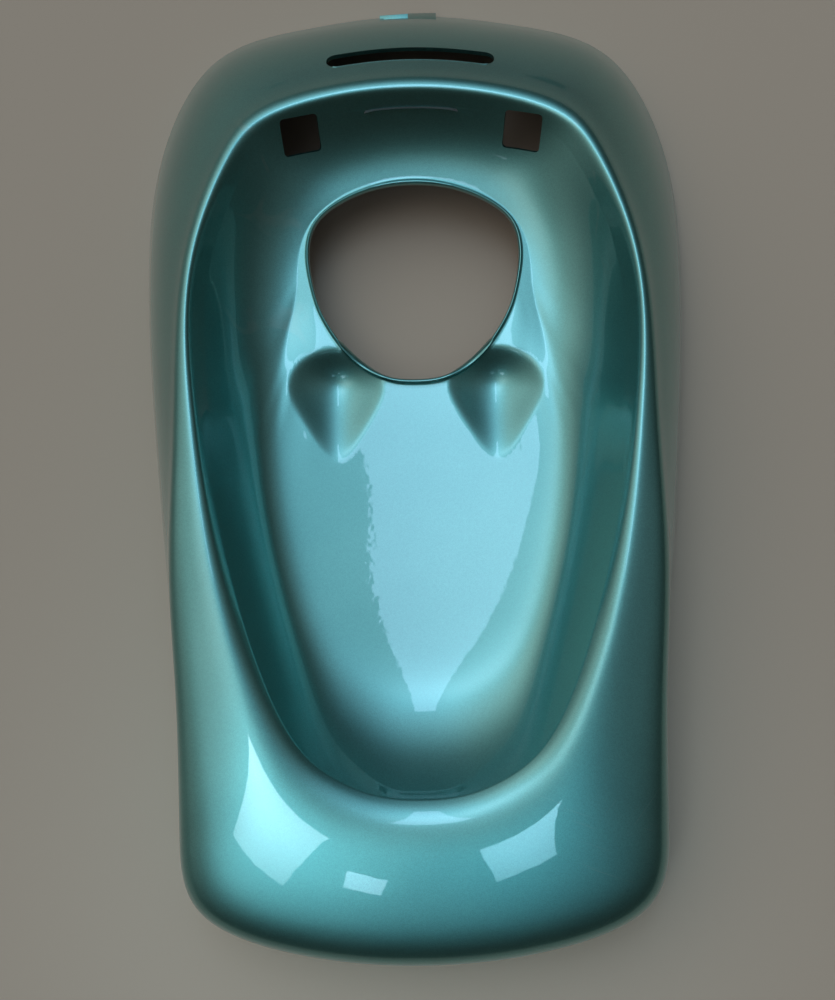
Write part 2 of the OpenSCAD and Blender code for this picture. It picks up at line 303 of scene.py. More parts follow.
    def meridian(self, t: float) -> list[Vector]:
        """Control points from the rear edge over the rim to the bead, held at both ends.

        Args:
            t: place round the shell, in outline steps.

        Returns:
            The control points.
        """
        edge, rim, hole = self.edge.at(t), self.rim.at(t), self.hole.at(t)
        share = self.shoulder_share(edge.y)
        shoulder = rim.lerp(edge, share)
        flange_w = (shoulder - rim).length
        foot = edge.to_3d()
        top = Vector((rim.x, rim.y, self.rim_height(rim.y)))
        corner = Vector((shoulder.x, shoulder.y, top.z - self.rim_drop - self.flange_fall * flange_w))
        wall_l = (corner - foot).length
        up = (corner - foot) / wall_l
        width = (top - corner).length
        across = (top - corner) / width
        roll = self.crest_round + self.roll_growth * max(0.0, flange_w - self.roll_from)
        roll = min(roll, self.wall_room * wall_l)
        lip = min(self.rim_round, self.lip_room * width)
        bulge = Vector((0, 0, self.crown * width + self.crest_rise * (1 - share)))
        wall_top = corner - up * roll
        inward = (corner - foot).xy.normalized()
        outward = Vector((-inward.x * up.z, -inward.y * up.z, up.xy.length))
        swell = outward * (wall_l * self.wall_swell * (1 - share))
        span = (hole - rim).length
        reach = self.bowl_width(rim, hole)
        flat = span - self.bead_w - self.bowl_shares[-1] * reach
        wide = clamped((width - self.crest_narrow) / self.crest_widening)
        drop = Vector((0, 0, 1 - wide))
        near, far = (self.lip_in * (share + (1 - share) * wide) for share in self.lip_shares)
        row = [foot, *(foot.lerp(wall_top, share) + swell for share in self.wall_shares), wall_top,
               corner - drop * self.corner_drop,
               corner + across * min(roll, (self.crest_out + self.crest_spread * wide) * width) + bulge,
               top - across * max(2 * lip * wide, self.crest_in * width) + bulge + drop * self.crest_lift,
               top - across * lip * wide - drop * self.top_drop,
               self.bowl(rim, hole, near, reach) - drop * self.lip_drop, self.bowl(rim, hole, far, reach)]
        row += [self.bowl(rim, hole, s * reach, reach) for s in self.bowl_shares]
        floor_from = self.bowl_shares[-1] * reach
        row += [self.bowl(rim, hole, floor_from + s * flat, reach) for s in self.floor_shares]
        return [2 * row[0] - row[1], *row, 2 * row[-1] - row[-2]]

    def sunk(self, p: Vector, v: float) -> Vector:
        """The point p of step v, let down by the fork hollows where it lies in the recess."""
        return p - Vector((0, 0, self.hollow(p.x, p.y))) if v > self.recess_from else p

    def point(self, t: float, v: float) -> Vector:
        """Point of the plain skin at outline step t and meridian step v."""
        return self.sunk(on_row(self.meridian(t), v), v)

    def place(self, t: float, v: float) -> Matrix:
        """Axes that stand on the skin.

        Args:
            t: place round the shell, in outline steps.
            v: place along the meridian, in steps.

        Returns:
            The axes: X along the ring, Y down the meridian towards the rear edge, Z outwards.
        """
        eps = 0.01
        here = self.point(t, v)
        x = (self.point(t + eps, v) - self.point(t - eps, v)).normalized()
        rise = (self.point(t, v + eps) - self.point(t, v - eps)).normalized()
        z = rise.cross(x).normalized()
        y = z.cross(x)
        rows = [(x[k], y[k], z[k], here[k]) for k in range(3)]
        return Matrix((*rows, (0, 0, 0, 1)))


@dataclass
class Bead:
    """Raised bead round the steering hole: shares of its width left to the hole, and of its height."""

    width: float = 4
    height: float = 2
    profile: tuple[tuple[float, float], ...] = (
        (0.86, 0.04), (0.76, 0.16), (0.68, 0.42), (0.6, 0.72), (0.5, 0.93), (0.4, 1), (0.3, 0.97),
        (0.2, 0.82), (0.11, 0.58), (0.05, 0.3), (0, 0))


@dataclass
class Moulding:
    """The one moulded piece: skin with an outer and an inner face, its cuts, and what is moulded on."""

    skin: MouldedSkin = field(default_factory=MouldedSkin)
    bead: Bead = field(default_factory=Bead)
    turns_per_step: int = 14
    hidden_every: int = 3
    sharp_from: float = 32
    square_s: float = 23
    square_round: float = 2.5
    square_step: float = 1.78
    square_level: float = 10.7
    square_turn: float = 13
    square_depth: float = 16
    corner_segments: int = 5
    slot_l: float = 103
    slot_w: float = 14
    slot_h: float = 58
    slot_flat: float = 0.6
    slot_depth: float = 40
    slot_segments: int = 8
    slot_cuts: int = 23
    lip_r: float = 1.25
    lip_easing: float = 0.8
    lip_cuts: int = 31
    lip_sides: int = 18
    notch_l: float = 32
    notch_h: float = 8
    notch_x: float = -1.5
    ledge_l: float = 16
    ledge_t: float = 2.4
    ledge_up: float = 2
    ledge_root: float = 13
    ledge_easing: float = 0.3
    boss_spacing_x: float = 262
    boss_spacing_y: float = 300
    boss_y: float = -30
    boss_d: float = 9
    boss_bore: float = 3.6
    boss_bore_depth: float = 18
    boss_mouth: float = 3
    boss_l: float = 26
    web_t: float = 2.2
    web_step: float = 4
    web_easing: float = 0.25
    boss_segments: int = 40

    def outer_levels(self) -> list[float]:
        """Meridian steps of the outer face, closest together over the crest and on the floor."""
        spans = ((0, 2.5, 10), (2.5, 9, 46), (9, 14, 40), (14, 17, 66))
        return [a + (b - a) * k / n for a, b, n in spans for k in range(n)] + [17.0]

    def build(self, finishes: dict[Face, bpy.types.Material]) -> bpy.types.Object:
        """The finished moulding as one mesh object at the origin, in metres.

        Args:
            finishes: the material of each kind of face.

        Returns:
            The object, with painted and bare faces told apart by their material slot.
        """
        body = mesh_object("moulding_blank", self.shell(), finishes)
        cutters = [self.square_cutter(side) for side in Side] + [self.slot_cutter(), self.notch_cutter()]
        for cutter in cutters:
            cut(body, cutter)
        shape = bmesh.new()
        shape.from_mesh(body.data)
        bpy.data.objects.remove(body)
        for extra in (self.ledge(), self.slot_lip(), self.bosses()):
            merge(shape, extra)
        bmesh.ops.scale(shape, vec=(MM, MM, MM), verts=shape.verts)
        soften(shape, math.radians(self.sharp_from))
        return mesh_object("leg_shield_moulding", shape, finishes)

    def shell(self) -> bmesh.types.BMesh:
        """Outer and inner face as one grid that is rolled up round the shell and over both edges.

        Returns:
            The closed mesh, in millimetres.
        """
        skin, bead = self.skin, self.bead
        turns = self.turns_per_step * len(skin.edge.controls)
        levels = self.outer_levels()
        flat_from = len(levels) - 1
        columns = []
        for i in range(turns):
            t = i / self.turns_per_step
            row = skin.meridian(t)
            rim, hole = skin.rim.at(t), skin.hole.at(t)
            span = (hole - rim).length
            reach = skin.bowl_width(rim, hole)
            points = [skin.sunk(on_row(row, v), v) for v in levels]
            points += [skin.sunk(skin.bowl(rim, hole, span - s * bead.width, reach), skin.last_step)
                       for s, _ in bead.profile]
            columns.append(points)
        rings = len(columns[0])

        def normal(i: int, r: int) -> Vector:
            """Outward direction of the plain skin."""
            along = columns[i][min(r + 1, rings - 1)] - columns[i][max(r - 1, 0)]
            return along.cross(columns[(i + 1) % turns][r] - columns[i - 1][r]).normalized()

        def outer(i: int, r: int) -> Vector:
            """Point of the painted face."""
            lift = bead.height * bead.profile[r - flat_from - 1][1] if r > flat_from else 0.0
            return columns[i][r] + normal(i, min(r, flat_from)) * lift

        def inner(i: int, r: int) -> Vector:
            """Point of the hidden face, one wall thickness in."""
            n = normal(i, min(r, flat_from))
            if r == 0:
                n = Vector((n.x, n.y, 0)) / n.xy.length_squared
            return columns[i][r] - n * skin.wall
        hidden = sorted(set(range(0, flat_from, self.hidden_every)) | {flat_from, rings - 1}, reverse=True)
        track = [(outer, r) for r in range(rings)] + [(inner, r) for r in hidden]
        shape = bmesh.new()
        bmesh.ops.create_grid(shape, x_segments=turns, y_segments=len(track), size=0.5)
        for face in shape.faces:
            low = min(round((vert.co.y + 0.5) * len(track)) for vert in face.verts)
            face.material_index = (Face.BARE if rings <= low < len(track) - 1 else Face.PAINTED).value
        for vert in shape.verts:
            i = round((vert.co.x + 0.5) * turns) % turns
            face_of, r = track[round((vert.co.y + 0.5) * len(track)) % len(track)]
            vert.co = face_of(i, r)
        bmesh.ops.remove_doubles(shape, verts=shape.verts, dist=1e-5)
        bmesh.ops.reverse_faces(shape, faces=shape.faces)
        LOG.info("shell: %d columns of %d rings, %d faces", turns, len(track), len(shape.faces))
        return shape

    def square_cutter(self, side: Side) -> bpy.types.Object:
        """Cutter of one square hole high in the recess.

        Args:
            side: the side of the shield that the hole is on.

        Returns:
            The cutter.
        """
        shape = rounded_bar(self.square_s, self.square_s, self.square_depth, self.square_round,
                            self.corner_segments)
        steps = len(self.skin.edge.controls)
        t = self.square_step if side is Side.RIGHT else steps - self.square_step
        turn = Matrix.Rotation(math.radians(side.value * self.square_turn), 4, "Z")
        bmesh.ops.transform(shape, matrix=self.skin.place(t, self.square_level) @ turn, verts=shape.verts)
        return mesh_object(f"square_cutter_{side.name.lower()}", shape)

    def slot_level(self) -> float:
        """Meridian step at which the slot's middle line lies on the top wall."""
        row = self.skin.meridian(0)
        return max(k * 0.05 for k in range(81) if on_row(row, k * 0.05).z < self.slot_h)

    def along_slot(self, shape: bmesh.types.BMesh) -> None:
        """Lays a bar on the top wall, along the slot's level line.

        Args:
            shape: the bar, which lies along X. Its Y goes down the wall and its Z outwards.
        """
        skin, level = self.skin, self.slot_level()
        frame = skin.place(0, level)
        fall, out = frame.col[1].xyz, frame.col[2].xyz
        reach = self.slot_l / 2 - self.slot_w / 2
        scale = reach / skin.point(0.5, level).x * 0.5
        for vert in shape.verts:
            x, y, z = vert.co
            inner_x = max(-reach, min(reach, x))
            p = skin.point(inner_x / reach * scale, level)
            vert.co = Vector((p.x + x - inner_x, p.y, p.z)) + fall * y + out * z

    def slot_cutter(self) -> bpy.types.Object:
        """Cutter of the long slot, which follows a level line of the top wall."""
        shape = rounded_bar(self.slot_l, self.slot_w, self.slot_depth, self.slot_w / 2 - self.slot_flat,
                            self.slot_segments)
        long_edges = [e for e in shape.edges if abs(e.verts[0].co.x - e.verts[1].co.x) > self.slot_l / 2]
        bmesh.ops.subdivide_edges(shape, edges=long_edges, cuts=self.slot_cuts)
        self.along_slot(shape)
        return mesh_object("slot_cutter", shape)

    def slot_lip(self) -> bmesh.types.BMesh:
        """Rounded lip along the slot's side that is next to the rim.

        Returns:
            The lip, a bar that is rounded at both ends.
        """
        shape = bmesh.new()
        bmesh.ops.create_cone(shape, cap_ends=True, segments=self.lip_sides, radius1=self.lip_r,
                              radius2=self.lip_r, depth=self.slot_l - self.slot_w / 2)
        bmesh.ops.rotate(shape, matrix=Matrix.Rotation(math.pi / 2, 3, "Y"), verts=shape.verts)
        long_edges = [e for e in shape.edges if abs(e.verts[0].co.x - e.verts[1].co.x) > self.slot_l / 2]
        bmesh.ops.subdivide_edges(shape, edges=long_edges, cuts=self.lip_cuts)
        ends = [f for f in shape.faces if abs(f.normal.x) > 0.9]
        round_off(shape, [e for f in ends for e in f.edges], self.lip_easing * self.lip_r, 3)
        bmesh.ops.translate(shape, vec=(0, -self.slot_w / 2, -self.skin.wall / 2), verts=shape.verts)
        for vert in shape.verts:
            past = max(0.0, abs(vert.co.x) - (self.slot_l - self.slot_w) / 2)
            vert.co.y += past * past / self.slot_w
        self.along_slot(shape)
        return shape

    def notch_cutter(self) -> bpy.types.Object:
        """Cutter of the notch in the middle of the top edge."""
        foot = self.skin.point(0, 0)
        shape = rounded_bar(self.notch_l, 40, 2 * self.notch_h, 1.0, 3)
        bmesh.ops.translate(shape, vec=(self.notch_x, foot.y, 0), verts=shape.verts)
        return mesh_object("notch_cutter", shape)

    def wall_y(self, z: float) -> float:
        """Place of the top wall's inner face over the centre line, at height z."""
        row = self.skin.meridian(0)
        v = max(k * 0.02 for k in range(150) if on_row(row, k * 0.02).z <= z)
        return on_row(row, v).y - self.skin.wall

    def ledge(self) -> bmesh.types.BMesh:
        """Flat ledge behind the notch, with the ramp that falls away to its left.

        Returns:
            The two bars, in millimetres.
        """
        left, right = self.notch_x - self.notch_l / 2, self.notch_x + self.notch_l / 2
        wall, low, high = self.skin.wall, self.ledge_up, self.ledge_up + self.ledge_t
        tip = self.skin.point(0, 0).y
        back, root = self.wall_y(high) - wall, self.wall_y(self.ledge_root)
        flat = [(tip, 0), (tip, high), (self.wall_y(low), high), (root + wall / 2, self.ledge_root),
                (root - wall / 2, self.ledge_root), (back, low), (tip - wall, low), (tip - wall, 0)]
        ramp = [(left - wall, 0), (right - self.ledge_l + 1, low), (right - self.ledge_l + 1, high),
                (left - wall, self.ledge_t)]
        shape = prism([Vector((0, y, z)) for y, z in flat], Vector((1, 0, 0)), right - self.ledge_l,
                      right + wall, self.ledge_easing)
        merge(shape, prism([Vector((x, 0, z)) for x, z in ramp], Vector((0, 1, 0)), back, tip - 0.2,
                           self.ledge_easing))
        return shape

    def bosses(self) -> bmesh.types.BMesh:
        """The four screw bosses with their webs.

        Returns:
            The bosses, in millimetres, with bare faces.
        """
        shape = bmesh.new()
        for side in Side:
            for up in (-1, 1):
                merge(shape, self.boss(side, self.boss_y + up * self.boss_spacing_y / 2))
        for face in shape.faces:
            face.material_index = Face.BARE.value
        return shape

    def boss(self, side: Side, place_y: float) -> bmesh.types.BMesh:
        """One screw boss: a turned tube with a blind bore, and the web that carries it.

        Args:
            side: which side wall carries it.
            place_y: its place along the shell.

        Returns:
            The boss, in millimetres.
        """
        x = side.value * self.boss_spacing_x / 2
        shape = bmesh.new()
        r, bore, top = self.boss_d / 2, self.boss_bore / 2, self.boss_mouth + self.boss_l
        bottom = self.boss_mouth + self.boss_bore_depth
        profile = [(0, bottom + 0.8), (bore * 0.5, bottom + 0.4), (bore, bottom),
                   (bore, self.boss_mouth + 0.5), (bore + 0.5, self.boss_mouth),
                   (r - 0.4, self.boss_mouth), (r, self.boss_mouth + 0.4),
                   (r, top - 0.5), (r - 0.5, top), (0, top)]
        chain = [shape.verts.new((a, 0, z)) for a, z in profile]
        edges = [shape.edges.new(pair) for pair in zip(chain[:-1], chain[1:])]
        bmesh.ops.spin(shape, geom=chain + edges, cent=(0, 0, 0), axis=(0, 0, 1), dvec=(0, 0, 0),
                       angle=math.tau, steps=self.boss_segments, use_merge=True)
        bmesh.ops.remove_doubles(shape, verts=shape.verts, dist=1e-4)
        bmesh.ops.recalc_face_normals(shape, faces=shape.faces)
        bmesh.ops.translate(shape, vec=(x, place_y, 0), verts=shape.verts)
        start, low = self.boss_spacing_x / 2 + bore + 0.8, self.boss_mouth + 1
        heights = [low + k * self.web_step for k in range(int((top + self.boss_d - low) / self.web_step) + 1)]
        outline = [(start, top - 1), (start, low)] + [(self.side_x(place_y, z), z) for z in heights]
        web = prism([Vector((side.value * a, 0, z)) for a, z in outline], Vector((0, 1, 0)),
                    place_y - self.web_t / 2, place_y + self.web_t / 2, self.web_easing)
        merge(shape, web)
        return shape

    def side_x(self, y: float, z: float) -> float:
        """Half width of the side wall's middle surface.

        Args:
            y: place along the shell.
            z: height.

        Returns:
            The distance from the centre line.
        """
        t = max(2 + k * 0.05 for k in range(180) if self.skin.edge.at(2 + k * 0.05).y > y)
        row = self.skin.meridian(t)
        v = max(k * 0.02 for k in range(200) if on_row(row, k * 0.02).z <= z)
        return on_row(row, v).x - self.skin.wall / 2


def prism(outline: list[Vector], along: Vector, start: float, end: float, easing: float) -> bmesh.types.BMesh:
    """Bar of one section, with eased edges.

    Args:
        outline: corners of the section, in its own plane through the origin.
        along: direction of the bar.
        start: where the bar starts, along that direction.
        end: where it ends.
        easing: width of the easing.

    Returns:
        The bar.
    """
    shape = bmesh.new()
    chain = [shape.verts.new(corner + along * start) for corner in outline]
    made = bmesh.ops.contextual_create(shape, geom=chain)["faces"]
    grown = bmesh.ops.extrude_face_region(shape, geom=made)["geom"]
    far = [g for g in grown if isinstance(g, bmesh.types.BMVert)]
    bmesh.ops.translate(shape, vec=along * (end - start), verts=far)
    bmesh.ops.recalc_face_normals(shape, faces=shape.faces)
    round_off(shape, shape.edges[:], easing, 2)
    return shape


def round_off(shape: bmesh.types.BMesh, edges: list[bmesh.types.BMEdge], reach: float, segments: int) -> None:
    """Rounds edges of a mesh, by a reach along each side and a number of facets."""
    bmesh.ops.bevel(shape, geom=edges, offset=reach, affect="EDGES", segments=segments, profile=0.5,
                    material=-1)


def rounded_bar(length: float, width: float, depth: float, radius: float, segments: int) -> bmesh.types.BMesh:
    """Upright bar with rounded corners, centred on the origin.

    Args:
        length: its size along X.
        width: its size along Y.
        depth: its size along Z.
        radius: how far the roundings reach along each side.
        segments: facets of a rounding.

    Returns:
        The bar.
    """
    shape = bmesh.new()
    bmesh.ops.create_cube(shape, size=1)
    bmesh.ops.scale(shape, vec=(length, width, depth), verts=shape.verts)
    upright = [e for e in shape.edges if abs(e.verts[0].co.z - e.verts[1].co.z) > depth / 2]
    round_off(shape, upright, radius, segments)
    return shape


def merge(shape: bmesh.types.BMesh, other: bmesh.types.BMesh) -> None:
    """Adds another mesh to a mesh.

    Args:
        shape: the mesh that grows.
        other: the mesh that is added, which is freed.
    """
    mesh = bpy.data.meshes.new("merge")
    other.to_mesh(mesh)
    other.free()
    shape.from_mesh(mesh)
    bpy.data.meshes.remove(mesh)


def mesh_object(name: str, shape: bmesh.types.BMesh,
                finishes: dict[Face, bpy.types.Material] | None = None) -> bpy.types.Object:
    """New object of a mesh, linked to the scene.

    Args:
        name: the object's name.
        shape: its mesh, which is freed.
        finishes: the material of each kind of face, in the order of the kinds.

    Returns:
        The object.
    """
    mesh = bpy.data.meshes.new(name)
    for finish in (finishes or {}).values():
        mesh.materials.append(finish)
    shape.to_mesh(mesh)
    shape.free()
    obj = bpy.data.objects.new(name, mesh)
    bpy.context.scene.collection.objects.link(obj)
    return obj


def cut(body: bpy.types.Object, cutter: bpy.types.Object) -> None:
    """Cuts a body.

    Args:
        body: the object that is cut.
        cutter: the object that cuts, which is removed.
    """
    modifier = body.modifiers.new("cut", "BOOLEAN")
    modifier.operation = "DIFFERENCE"
    modifier.solver = "EXACT"
    modifier.object = cutter
    bpy.context.view_layer.update()
    done = bpy.data.meshes.new_from_object(body.evaluated_get(bpy.context.evaluated_depsgraph_get()))
    body.modifiers.remove(modifier)
    body.data = done
    bpy.data.objects.remove(cutter)


def soften(shape: bmesh.types.BMesh, angle: float) -> None:
    """Shades a mesh smooth, but for its sharp edges.

    Args:
        shape: the mesh.
        angle: the least angle between the faces of a sharp edge, in radians.
    """
    for face in shape.faces:
        face.smooth = True
    for edge in shape.edges:
        edge.smooth = len(edge.link_faces) == 2 and edge.calc_face_angle(0.0) < angle


class Graph:
    """Short hand for wiring one node tree."""

    def __init__(self, tree: bpy.types.NodeTree) -> None:
        """Takes the tree that is wired."""
        self.tree = tree

    def feed(self, socket: bpy.types.NodeSocket, value: object) -> None:
        """Links a socket to another node's output, or sets its value."""
        if isinstance(value, bpy.types.NodeSocket):
            self.tree.links.new(value, socket)
        else:
            socket.default_value = value

    def node(self, kind: str, inputs: dict[str | int, object] | None = None,
             **settings: object) -> bpy.types.Node:
        """Adds a node.

        Args:
            kind: the node's type name, without its prefix.
            inputs: values or sockets for its inputs, by name or number.
            settings: values of its own properties.

        Returns:
            The node.
        """
        node = self.tree.nodes.new("ShaderNode" + kind)
        for key, value in settings.items():
            setattr(node, key, value)
        for key, value in (inputs or {}).items():
            self.feed(node.inputs[key], value)
        return node

    def math(self, operation: str, *values: object) -> bpy.types.NodeSocket:
        """Result of a sum on values or sockets."""
        return self.node("Math", dict(enumerate(values)), operation=operation).outputs[0]

    def ramp(self, value: object, low: float, high: float) -> bpy.types.NodeSocket:
        """Smooth step from 0 to 1 as a value goes from low to high."""
        ends = {0: value, 1: low, 2: high, 3: 0.0, 4: 1.0}
        return self.node("MapRange", ends, interpolation_type="SMOOTHSTEP").outputs[0]

    def mix(self, share: object, first: object, second: object) -> bpy.types.NodeSocket:
        """Colour between two colours."""
        return self.node("Mix", {0: share, 6: first, 7: second}, data_type="RGBA").outputs[2]

    def noise(self, place: object, scale: object, detail: float) -> bpy.types.NodeSocket:
        """Soft noise from 0 to 1."""
        return self.node("TexNoise", {"Vector": place, "Scale": scale, "Detail": detail}).outputs[0]

    def stretched(self, place: object, turn: float, scale: tuple[float, ...]) -> bpy.types.NodeSocket:
        """A place, scaled and turned about Z.

        Args:
            place: the place.
            turn: the turn, in degrees.
            scale: the scale along each axis.

        Returns:
            The new place.
        """
        mapping = self.node("Mapping", {"Vector": place}, vector_type="POINT")
        mapping.inputs["Rotation"].default_value = (0, 0, math.radians(turn))
        mapping.inputs["Scale"].default_value = scale
        return mapping.outputs[0]


def effect(name: str, inputs: dict[str, float],
           output: str) -> tuple[bpy.types.NodeTree, Graph, dict, bpy.types.NodeSocket]:
    """Starts a shader node group that puts out one value.

    Args:
        name: the group's name.
        inputs: its number inputs with their first values. It has a Place input as well.
        output: name of its output.

    Returns:
        The group, its wiring, its inputs inside the group, and the socket that its result goes to.
    """
    group = bpy.data.node_groups.new(name, "ShaderNodeTree")
    group.interface.new_socket("Place", in_out="INPUT", socket_type="NodeSocketVector")
    for key, value in inputs.items():
        group.interface.new_socket(key, in_out="INPUT", socket_type="NodeSocketFloat").default_value = value
    group.interface.new_socket(output, in_out="OUTPUT", socket_type="NodeSocketFloat")
    graph = Graph(group)
    source = group.nodes.new("NodeGroupInput")
    result = group.nodes.new("NodeGroupOutput").inputs[0]
    return group, graph, {key.name: key for key in source.outputs}, result


@dataclass(frozen=True)
class Effects:
    """Shader groups that both finishes use."""

    scratches: bpy.types.NodeTree
    specks: bpy.types.NodeTree
    grain: bpy.types.NodeTree

    @classmethod
    def make(cls) -> "Effects":
        """Builds the three groups once."""
        return cls(cls.make_scratches(), cls.make_specks(), cls.make_grain())

    @staticmethod
    def make_scratches() -> bpy.types.NodeTree:
        """Fine straight scratches that run one way.

        Returns:
            The group, which gives 1 in a scratch and 0 beside it.
        """
        inputs = {"Turn": 0.0, "Amount": 0.5, "Seed": 0.0}
        group, graph, source, result = effect("fine_scratches", inputs, "Mask")
        aim = {"Vector": source["Place"], "Angle": source["Turn"]}
        turned = graph.node("VectorRotate", aim, rotation_type="Z_AXIS")
        moved = graph.node("VectorMath", {0: turned.outputs[0], 1: source["Seed"]}, operation="ADD")
        long = graph.node("VectorMath", {0: moved.outputs[0], 1: (22.0, 1500.0, 22.0)}, operation="MULTIPLY")
        line = graph.noise(long.outputs[0], 1.0, 1.0)
        patch = graph.noise(moved.outputs[0], 26.0, 1.0)
        sharp = graph.ramp(line, 0.70, 0.76)
        graph.feed(result, graph.math("MULTIPLY", graph.math("MULTIPLY", sharp, graph.ramp(patch, 0.5, 0.62)),
                                      source["Amount"]))
        return group

    @staticmethod
    def make_specks() -> bpy.types.NodeTree:
        """Small scattered specks.

        Returns:
            The group, which gives 1 in a speck and 0 beside it.
        """
        inputs = {"Spacing": 120.0, "Size": 0.1, "Rarity": 0.5}
        group, graph, source, result = effect("small_specks", inputs, "Mask")
        cells = graph.node("TexVoronoi", {"Vector": source["Place"], "Scale": source["Spacing"]})
        wobble = graph.noise(source["Place"], 900.0, 1.0)
        near = graph.math("ADD", cells.outputs["Distance"], graph.math("MULTIPLY", wobble, 0.08))
        chosen = graph.node("SeparateColor", {0: cells.outputs["Color"]}).outputs[0]
        dot = graph.math("LESS_THAN", near, source["Size"])
        graph.feed(result, graph.math("MULTIPLY", dot, graph.math("GREATER_THAN", chosen, source["Rarity"])))
        return group

    @staticmethod
    def make_grain() -> bpy.types.NodeTree:
        """A fine uneven surface, coarse waves and fine grain together.

        Returns:
            The group, which gives the height.
        """
        inputs = {"Coarse": 200.0, "Fine": 1500.0, "Share": 0.3}
        group, graph, source, result = effect("surface_grain", inputs, "Height")
        coarse = graph.noise(source["Place"], source["Coarse"], 1.0)
        fine = graph.noise(source["Place"], source["Fine"], 2.0)
        mixed = graph.node("Mix", {0: source["Share"], 2: coarse, 3: fine}, data_type="FLOAT")
        graph.feed(result, mixed.outputs[0])
        return group

    @staticmethod
    def place(graph: Graph, group: bpy.types.NodeTree, place: object,
              **values: float) -> bpy.types.NodeSocket:
        """Places one of the groups in a material.

        Args:
            graph: the material's wiring.
            group: the group.
            place: where on the surface.
            values: its number inputs by name.

        Returns:
            The group's output.
        """
        node = graph.tree.nodes.new("ShaderNodeGroup")
        node.node_tree = group
        graph.feed(node.inputs["Place"], place)
        for key, value in values.items():
            graph.feed(node.inputs[key.capitalize()], value)
        return node.outputs[0]


@dataclass(frozen=True)
class GlossPaint:
    """Metallic green paint with fine flakes, under a glossy clear coat."""

    name: str = "metallic_green_paint"
    colour: tuple[float, float, float] = (0.125, 0.37, 0.36)
    deep: tuple[float, float, float] = (0.105, 0.33, 0.325)
    worn: tuple[float, float, float] = (0.24, 0.40, 0.38)
    primer: tuple[float, float, float] = (0.035, 0.05, 0.048)
    metallic: float = 1.0
    roughness: float = 0.36
    coat_roughness: float = 0.012

    def material(self, effects: Effects) -> bpy.types.Material:
        """The paint as a material.

        Args:
            effects: the shared shader groups.

        Returns:
            The material.
        """
        mat, graph, shader = new_material(self.name)
        place = graph.node("TexCoord").outputs["Object"]
        axes = graph.node("SeparateXYZ", {0: place})
        across, along = axes.outputs[0], axes.outputs[1]

        flakes = graph.node("TexVoronoi", {"Vector": place, "Scale": 2800.0})
        glint = graph.node("SeparateColor", {0: flakes.outputs["Color"]}).outputs[0]
        cloud = graph.noise(place, 9.0, 3.0)
        base = graph.mix(graph.ramp(cloud, 0.3, 0.7), (*self.deep, 1), (*self.colour, 1))
        value = graph.math("MULTIPLY_ADD", glint, 0.22, 0.89)
        sparkle = graph.node("HueSaturation", {"Value": value, "Color": base})

        scratches = effects.place(graph, effects.scratches, place, turn=0.35, amount=1.0, seed=0.3)
        crossing = effects.place(graph, effects.scratches, place, turn=-0.9, amount=0.7, seed=1.7)
        low_right = graph.math("MULTIPLY", graph.ramp(across, 0.02, 0.09), graph.ramp(along, -0.13, -0.2))
        rubbed = graph.math("MULTIPLY", graph.math("MAXIMUM", scratches, crossing), low_right)

        chips = effects.place(graph, effects.specks, place, spacing=60.0, size=0.07, rarity=0.93)
        high = graph.ramp(along, 0.13, 0.2)
        chipped = graph.math("MULTIPLY", chips, graph.math("MAXIMUM", high, low_right))

        mist = self.tide_lines(graph, place, across, along)
        shade = graph.mix(graph.math("MULTIPLY", mist, 0.35), sparkle.outputs[0], (*self.worn, 1))
        shade = graph.mix(graph.math("MULTIPLY", rubbed, 0.6), shade, (*self.worn, 1))
        graph.feed(shader.inputs["Base Color"], graph.mix(chipped, shade, (*self.primer, 1)))

        rough = graph.math("MULTIPLY_ADD", glint, 0.05, self.roughness - 0.025)
        graph.feed(shader.inputs["Roughness"], graph.math("MULTIPLY_ADD", rubbed, 0.15, rough))
        bare = graph.math("MULTIPLY_ADD", chipped, -self.metallic, self.metallic)
        graph.feed(shader.inputs["Metallic"], bare)
        dull = graph.math("MAXIMUM", graph.math("MULTIPLY", rubbed, 0.7), chipped)
        dull = graph.math("MAXIMUM", dull, graph.math("MULTIPLY", mist, 0.25))
        graph.feed(shader.inputs["Coat Weight"], graph.math("SUBTRACT", 1.0, dull))
        shader.inputs["Coat Roughness"].default_value = self.coat_roughness

        peel = effects.place(graph, effects.grain, place, coarse=190.0, fine=2200.0, share=0.04)
        worn_down = graph.math("MULTIPLY", graph.math("MAXIMUM", rubbed, chipped), 0.5)
        height = graph.math("SUBTRACT", peel, worn_down)
        bump = graph.node("Bump", {"Strength": 0.1, "Distance": 0.00008, "Height": height})
        graph.feed(shader.inputs["Normal"], bump.outputs[0])
        graph.feed(shader.inputs["Coat Normal"], bump.outputs[0])
        return mat

    @staticmethod
    def tide_lines(graph: Graph, place: object, across: object, along: object) -> bpy.types.NodeSocket:
        """Faint dried lines of overspray high in the recess, left and right.

        Args:
            graph: the material's wiring.
            place: where on the surface.
            across: the place's X.
            along: the place's Y.

        Returns:
            1 on a line, 0 beside it.
        """
        waves = graph.noise(place, 11.0, 2.0)
        offset = graph.math("ABSOLUTE", graph.math("SUBTRACT", waves, 0.5))
        line = graph.ramp(offset, 0.012, 0.004)
        broken = graph.ramp(graph.noise(place, 45.0, 2.0), 0.45, 0.62)
        aside = graph.ramp(graph.math("ABSOLUTE", across), 0.055, 0.075)
        within = graph.ramp(graph.math("ABSOLUTE", across), 0.125, 0.11)
        high = graph.math("MULTIPLY", graph.ramp(along, 0.06, 0.09), graph.ramp(along, 0.215, 0.19))
        zone = graph.math("MULTIPLY", graph.math("MULTIPLY", aside, within), high)
        return graph.math("MULTIPLY", graph.math("MULTIPLY", line, broken), zone)


